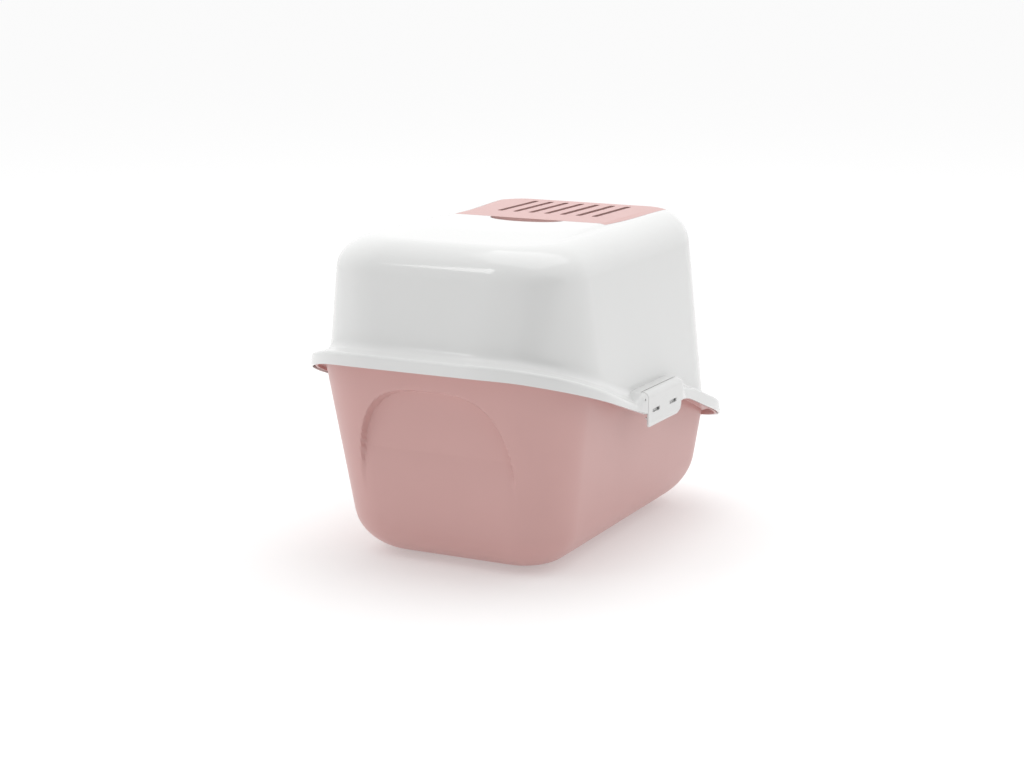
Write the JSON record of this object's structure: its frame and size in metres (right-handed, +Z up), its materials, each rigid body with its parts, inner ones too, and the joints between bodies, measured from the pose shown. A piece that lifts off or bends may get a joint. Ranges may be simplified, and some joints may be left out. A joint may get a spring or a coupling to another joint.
{
  "type": "cat litter box with hood",
  "caption": "Covered cat litter box: drafted tray, lift-off hood with side clips, hinged vented filter lid and a swing door.",
  "frame": {"origin": "on the floor under the middle of the box", "axes": "+Z up, -Y towards the entrance, +Y towards the closed back, +X across the box"},
  "size_m": [0.395, 0.56, 0.393],
  "materials": {
    "pink_plastic": "satin, fine moulded grain",
    "white_plastic": "high gloss",
    "clear_plastic": "smoky translucent",
    "grey_plastic": "plain moulded",
    "carbon_foam": "open black foam",
    "dark_rubber": "matt"
  },
  "bodies": {
    "tray": {"litter_tray": "pink_plastic", "foot_back_left": "dark_rubber", "foot_back_right": "dark_rubber", "foot_front_left": "dark_rubber", "foot_front_right": "dark_rubber"},
    "hood": {"hood_shell": "white_plastic", "clip_rod_left": "grey_plastic", "clip_rod_right": "grey_plastic", "filter_basket": "grey_plastic", "carbon_filter": "carbon_foam", "door_frame": "white_plastic", "door_pin_left": "grey_plastic", "door_pin_right": "grey_plastic"},
    "clip_left": {"clip_left": "white_plastic"},
    "clip_right": {"clip_right": "white_plastic"},
    "vent_cover": {"vent_cover": "pink_plastic"},
    "door_flap": {"door_flap": "clear_plastic"}
  },
  "joints": [
    {"name": "hood_lift", "type": "slide", "parent": "tray", "child": "hood", "axis": [0, 0, 1], "range_m": [0, 0.2]},
    {"name": "clip_left_hinge", "type": "hinge", "parent": "hood", "child": "clip_left", "pos_m": [-0.1899, 0.013, 0.1985], "axis": [0, 1, 0], "range_deg": [0, 100]},
    {"name": "clip_right_hinge", "type": "hinge", "parent": "hood", "child": "clip_right", "pos_m": [0.1899, 0.013, 0.1985], "axis": [0, -1, 0], "range_deg": [0, 100]},
    {"name": "vent_cover_hinge", "type": "hinge", "parent": "hood", "child": "vent_cover", "pos_m": [0, -0.186, 0.3897], "axis": [1, 0, 0], "range_deg": [0, 90]},
    {"name": "door_flap_hinge", "type": "hinge", "parent": "hood", "child": "door_flap", "pos_m": [0, -0.2, 0.308], "axis": [1, 0, 0], "range_deg": [-75, 75]}
  ]
}
